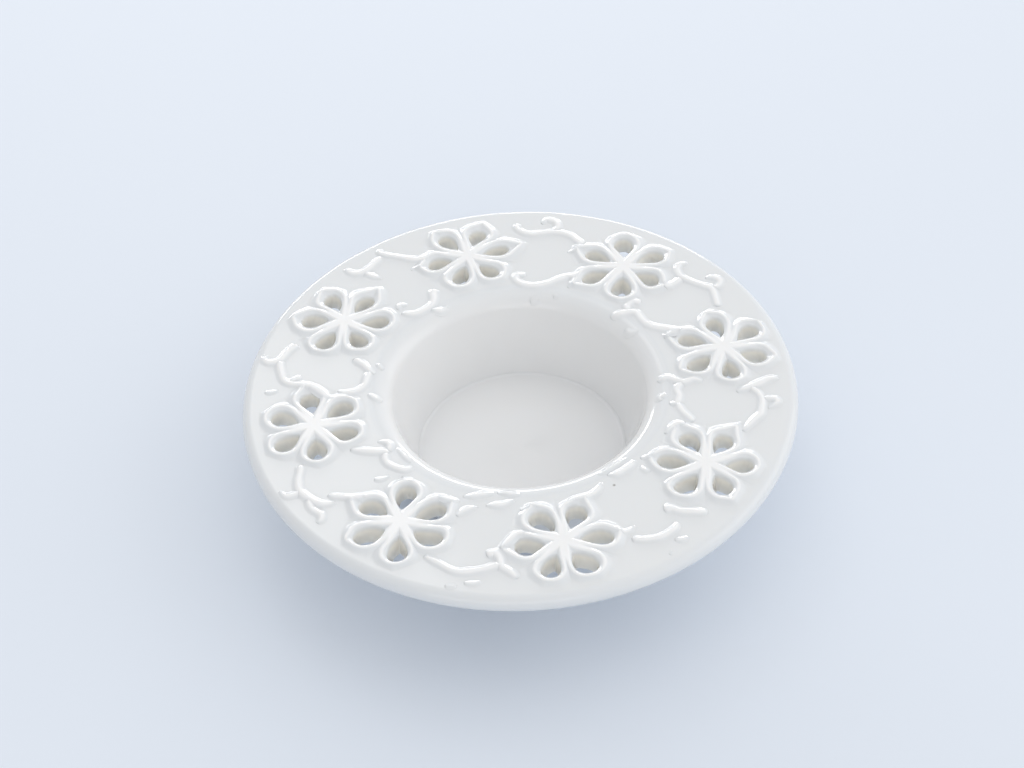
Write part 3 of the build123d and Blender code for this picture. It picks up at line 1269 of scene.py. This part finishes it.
@dataclass(frozen=True)
class Finish:
    """A porcelain surface with slow waves, a fine skin and specks, in waves and specks to the metre."""

    name: str
    speck_colour: Colour
    bump: float
    bump_distance: float
    wave: float
    skin: float
    skin_share: float
    speck_spacing: float
    speck_size: float
    speck_share: float

    def paint(
        self, sheet: NodeSheet, place: NodeSocket, patches: NodeSocket, plate: PlateFrame,
    ) -> NodeSocket:
        """Colour under the specks, from the place, the slow waves and the plate's sizes."""
        raise NotImplementedError

    def shine(self, sheet: NodeSheet, patches: NodeSocket) -> Inputs:
        """Inputs of the shader for the gloss, which may follow the slow waves."""
        raise NotImplementedError

    def material(self, plate: PlateFrame, effects: SharedEffects) -> Material:
        """Make the finish's material.

        Args:
            plate: heights and radii that the colours follow.
            effects: shared node groups.

        Returns:
            The material.
        """
        material = bpy.data.materials.new(self.name)
        material.use_nodes = True
        sheet = NodeSheet(material.node_tree)
        place = sheet.add("ShaderNodeTexCoord").outputs["Object"]
        ripple = sheet.add("ShaderNodeGroup", {
            "Vector": place, "Wave": self.wave, "Skin": self.skin, "Skin Share": self.skin_share,
        }, node_tree=effects.ripple).outputs
        specks = sheet.add("ShaderNodeGroup", {
            "Vector": place, "Spacing": self.speck_spacing,
            "Size": self.speck_size, "Share": self.speck_share,
        }, node_tree=effects.specks).outputs
        body = self.paint(sheet, place, ripple["Patches"], plate)
        bump = sheet.add("ShaderNodeBump", {
            "Strength": self.bump, "Distance": self.bump_distance, "Height": ripple["Height"],
        })
        sheet.feed(material.node_tree.nodes["Principled BSDF"], {
            "Base Color": sheet.blend(specks["Mask"], body, self.speck_colour),
            "Normal": bump.outputs["Normal"],
            **self.shine(sheet, ripple["Patches"]),
        })
        return material


@dataclass(frozen=True)
class GlazeFinish(Finish):
    """Clear glossy glaze over white porcelain, with painted light in the well, a painted highlight on
    the crests and a warm tint with painted light inside the piercings.
    """

    name: str = "porcelain_glaze"
    colour: Colour = (0.77, 0.785, 0.80)
    cool_colour: Colour = (0.75, 0.775, 0.795)
    # Lighter glaze in the well: painted light that stands in for light the deep well gets less of
    well_painted_light_colour: Colour = (0.82, 0.825, 0.83)
    well_ease: float = 5.0
    # Whiter colour on the crests: a painted highlight
    crest_painted_highlight: Colour = (0.89, 0.895, 0.90)
    crest_highlight_rise: Pair = (0.44, 0.66)
    # Warm tint in the piercings, made lighter with painted light against the shade on their walls
    recess_warmth_and_painted_light: Colour = (0.92, 0.895, 0.83)
    recess_depth: Pair = (-0.2, 1.0)
    edge_inset: Pair = (1.4, 2.2)
    joint_ease: float = 0.5
    under_ease: float = 0.5
    roughness: Pair = (0.07, 0.13)
    ior: float = 1.6
    subsurface: float = 0.15
    subsurface_radius: Colour = (1.0, 0.9, 0.8)
    subsurface_depth: float = 0.0004
    bump: float = 0.25
    bump_distance: float = 0.0004
    wave: float = 55.0
    skin: float = 420.0
    skin_share: float = 0.05
    speck_colour: Colour = (0.30, 0.28, 0.26)
    speck_spacing: float = 90.0
    speck_size: float = 0.01
    speck_share: float = 0.01
    large_speck_place: Pair = (301.0, 32.6)
    large_speck_reach: float = 0.00045

    def recess(
        self, sheet: NodeSheet, height: NodeSocket, radius: NodeSocket, plate: PlateFrame,
    ) -> NodeSocket:
        """Mask of the piercings' walls, which take a warm tint with painted light: below the top and
        above the underside, between joint and edge.

        Args:
            sheet: sheet that takes the nodes.
            height: height on the plate, in metres.
            radius: distance from the axis, in metres.
            plate: the plate's sizes.

        Returns:
            The mask.
        """
        start, full = self.recess_depth
        near, far = self.edge_inset
        under, joint, edge = plate.rim_under, plate.joint_radius, plate.rim_radius
        deep = sheet.ramp(height, plate.top - start, plate.top - full, MM)
        above = sheet.ramp(height, under, under + self.under_ease, MM)
        inside = sheet.ramp(radius, edge - near, edge - far, MM)
        beyond = sheet.ramp(radius, joint, joint + self.joint_ease, MM)
        between = sheet.math("MULTIPLY", inside, beyond)
        return sheet.math("MULTIPLY", sheet.math("MULTIPLY", deep, above), between)

    def paint(
        self, sheet: NodeSheet, place: NodeSocket, patches: NodeSocket, plate: PlateFrame,
    ) -> NodeSocket:
        """Colour the glaze, with painted light in the well, a painted highlight on the crests, and a
        warm tint with painted light in the piercings.

        Args:
            sheet: sheet that takes the nodes.
            place: place on the plate, in metres.
            patches: slow waves of the surface.
            plate: the plate's sizes.

        Returns:
            The colour.
        """
        height = sheet.add("ShaderNodeSeparateXYZ", {"Vector": place}).outputs["Z"]
        flat = sheet.vector_math("MULTIPLY", place, (1, 1, 0), "Vector")
        radius = sheet.vector_math("DISTANCE", flat, (0, 0, 0), "Value")
        joint = plate.joint_radius
        # Painted light in the well, full from a little inside the joint towards the axis
        painted_well_light = sheet.ramp(radius, joint, joint - self.well_ease, MM)
        rise = sheet.add("ShaderNodeAttribute", attribute_name=RISE).outputs["Fac"]
        # Painted highlight on the crests, where the relief rises above its ground
        raised = sheet.ramp(rise, *self.crest_highlight_rise)
        to_speck = sheet.vector_math("DISTANCE", flat, polar(*self.large_speck_place) * MM, "Value")
        body = sheet.blend(patches, self.colour, self.cool_colour)
        body = sheet.blend(painted_well_light, body, self.well_painted_light_colour)
        body = sheet.blend(raised, body, self.crest_painted_highlight)
        # Warm tint with painted light on the piercings' walls
        body = sheet.blend(self.recess(sheet, height, radius, plate), body, self.recess_warmth_and_painted_light)
        return sheet.blend(sheet.ramp(to_speck, self.large_speck_reach, 0), body, self.speck_colour)

    def shine(self, sheet: NodeSheet, patches: NodeSocket) -> Inputs:
        """Gloss that changes with the slow waves, and the light that enters the glaze.

        Args:
            sheet: sheet that takes the nodes.
            patches: slow waves of the surface.

        Returns:
            What the shader's inputs take.
        """
        low, high = self.roughness
        gloss = sheet.add("ShaderNodeMapRange", {"Value": patches, "To Min": low, "To Max": high})
        return {
            "Roughness": gloss.outputs["Result"],
            "IOR": self.ior,
            "Subsurface Weight": self.subsurface,
            "Subsurface Radius": self.subsurface_radius,
            "Subsurface Scale": self.subsurface_depth,
        }


@dataclass(frozen=True)
class TrailedGlazeFinish(GlazeFinish):
    """The same glaze on the trailed strokes, whose painted crest highlight starts lower, as their
    crests rise less.
    """

    name: str = "trailed_glaze"
    crest_highlight_rise: Pair = (0.1, 0.42)


@dataclass(frozen=True)
class BareClayFinish(Finish):
    """Unglazed porcelain where the foot was wiped clean, matt and a little grainy."""

    name: str = "bare_porcelain"
    colour: Colour = (0.74, 0.71, 0.66)
    worn_colour: Colour = (0.66, 0.63, 0.58)
    roughness: float = 0.72
    bump: float = 0.5
    bump_distance: float = 0.00008
    wave: float = 180.0
    skin: float = 2400.0
    skin_share: float = 0.8
    speck_colour: Colour = (0.42, 0.38, 0.33)
    speck_spacing: float = 700.0
    speck_size: float = 0.16
    speck_share: float = 0.15

    def paint(
        self, sheet: NodeSheet, place: NodeSocket, patches: NodeSocket, plate: PlateFrame,
    ) -> NodeSocket:
        """Colour of the clay, worn in patches."""
        return sheet.blend(patches, self.colour, self.worn_colour)

    def shine(self, sheet: NodeSheet, patches: NodeSocket) -> Inputs:
        """The same matt surface all over."""
        return {"Roughness": self.roughness}


@dataclass(frozen=True)
class PhotoCamera:
    """Camera at the photo's place: what it looks at, how far off, how steeply and how tilted."""

    aim: tuple[float, float, float] = (-1.4, 1.2, 21.5)
    distance: float = 397.5
    elevation: float = 44.56
    roll: float = -3.04
    lens: float = 70.3
    sensor: float = 36.0
    clip_start: float = 0.01

    def build(self) -> None:
        """Make the camera and look through it."""
        rise = radians(self.elevation)
        tilt = radians(self.roll)
        back = Vector((0, -cos(rise), sin(rise)))
        level_up = Vector((0, sin(rise), cos(rise)))
        right = Vector((cos(tilt), 0, 0)) + level_up * sin(tilt)
        up = Vector((-sin(tilt), 0, 0)) + level_up * cos(tilt)
        place = Matrix((right, up, back)).transposed().to_4x4()
        place.translation = (Vector(self.aim) + back * self.distance) * MM
        data = bpy.data.cameras.new("photo_camera")
        data.lens = self.lens
        data.sensor_width = self.sensor
        data.clip_start = self.clip_start
        camera = place_object("photo_camera", data)
        camera.matrix_world = place
        bpy.context.scene.camera = camera


@dataclass(frozen=True)
class Lamp:
    """A soft panel of light: bearing and elevation in degrees, sizes in metres, power in watts."""

    name: str
    bearing: float
    elevation: float
    distance: float
    width: float
    depth: float
    power: float

    def build(self) -> None:
        """Hang the panel, facing the plate."""
        data = bpy.data.lights.new(self.name, "AREA")
        data.shape = "RECTANGLE"
        data.size = self.width
        data.size_y = self.depth
        data.energy = self.power
        lamp = place_object(self.name, data)
        rise = radians(self.elevation)
        outwards = polar(self.bearing, cos(rise)) + UP * sin(rise)
        lamp.location = outwards * self.distance
        lamp.rotation_euler = outwards.to_track_quat("Z", "Y").to_euler()


@dataclass(frozen=True)
class Studio:
    """Pale table, soft light and a pale surround."""

    table_radius: float = 3.0
    table_steps: int = 96
    table_colour: Colour = (0.742, 0.797, 0.88)
    table_roughness: float = 0.6
    surround_colour: Colour = (0.80, 0.84, 0.90)
    sky_colour: Colour = (1.0, 1.0, 1.0)
    sky_strength: float = 0.845
    sky_bearing: float = 20.0
    sky_slant: float = 0.3
    lamps: tuple[Lamp, ...] = (
        Lamp("right_panel", 8.0, 28.0, 1.2, 1.2, 0.8, 1.6),
        Lamp("back_panel", 94.0, 12.0, 1.3, 1.1, 0.18, 4.5),
        Lamp("left_panel", 110.0, 50.0, 0.9, 0.3, 0.25, 0.2),
        Lamp("top_panel", 90.0, 78.0, 1.2, 0.9, 0.9, 0.3),
        Lamp("front_panel", 262.0, 24.0, 1.0, 1.0, 0.5, 0.9),
    )

    def build(self) -> None:
        """Set the table, hang the lamps and light the surround."""
        self.build_table()
        for lamp in self.lamps:
            lamp.build()
        self.build_world()
        bpy.context.scene.view_settings.view_transform = "Standard"

    def build_table(self) -> None:
        """Make the table top, which isn't part of the plate."""
        bm = bmesh.new()
        bmesh.ops.create_circle(bm, cap_ends=True, segments=self.table_steps, radius=self.table_radius)
        mesh = make_mesh(bm, "table_top")
        material = bpy.data.materials.new("table_white")
        material.use_nodes = True
        NodeSheet(material.node_tree).feed(material.node_tree.nodes["Principled BSDF"], {
            "Base Color": (*self.table_colour, 1), "Roughness": self.table_roughness,
        })
        mesh.materials.append(material)
        table = place_object("table_top", mesh)

    def build_world(self) -> None:
        """Light the plate from all round, more from one side, and show a pale surround."""
        world = bpy.data.worlds.new("studio")
        world.use_nodes = True
        bpy.context.scene.world = world
        world.node_tree.nodes.clear()
        sheet = NodeSheet(world.node_tree)
        way = sheet.add("ShaderNodeTexCoord").outputs["Generated"]
        bright_side = polar(self.sky_bearing, self.sky_slant * self.sky_strength)
        slant = sheet.vector_math("DOT_PRODUCT", way, bright_side, "Value")
        light = sheet.add("ShaderNodeBackground", {
            "Color": (*self.sky_colour, 1), "Strength": sheet.math("ADD", slant, self.sky_strength),
        })
        seen = sheet.add("ShaderNodeBackground", {"Color": (*self.surround_colour, 1)})
        path = sheet.add("ShaderNodeLightPath").outputs
        mirrored = sheet.math("MAXIMUM", path["Is Glossy Ray"], path["Is Transmission Ray"])
        shown = sheet.math("MAXIMUM", path["Is Camera Ray"], mirrored)
        mix = sheet.add("ShaderNodeMixShader", {0: shown, 1: light.outputs[0], 2: seen.outputs[0]})
        sheet.add("ShaderNodeOutputWorld", {"Surface": mix.outputs[0]})


def main() -> None:
    """Build the plate's pieces in order, then the studio and the camera."""
    logging.basicConfig(level=logging.INFO, format="%(message)s")
    noise.seed_set(NOISE_SEED)
    plate = PlateFrame.from_cad()
    effects = SharedEffects()
    glaze = GlazeFinish().material(plate, effects)
    trailed = TrailedGlazeFinish().material(plate, effects)
    clay = BareClayFinish().material(plate, effects)
    FootRing(plate).build(clay)
    well = CandleWell(plate)
    well.build(glaze)
    WellFloor(plate, well).build(glaze)
    rim = PiercedRim(plate)
    rim.build(glaze)
    for kind, gaps in (("outer", OUTER_TRAILS), ("inner", INNER_TRAILS)):
        for number, strokes in enumerate(gaps, start=1):
            name, node = f"{kind}_trail_{number}", f"{kind}_scroll_{number}"
            ScrollTrails(name, node, well, rim, strokes).build(trailed)
    Studio().build()
    PhotoCamera().build()


if __name__ == "__main__":
    main()
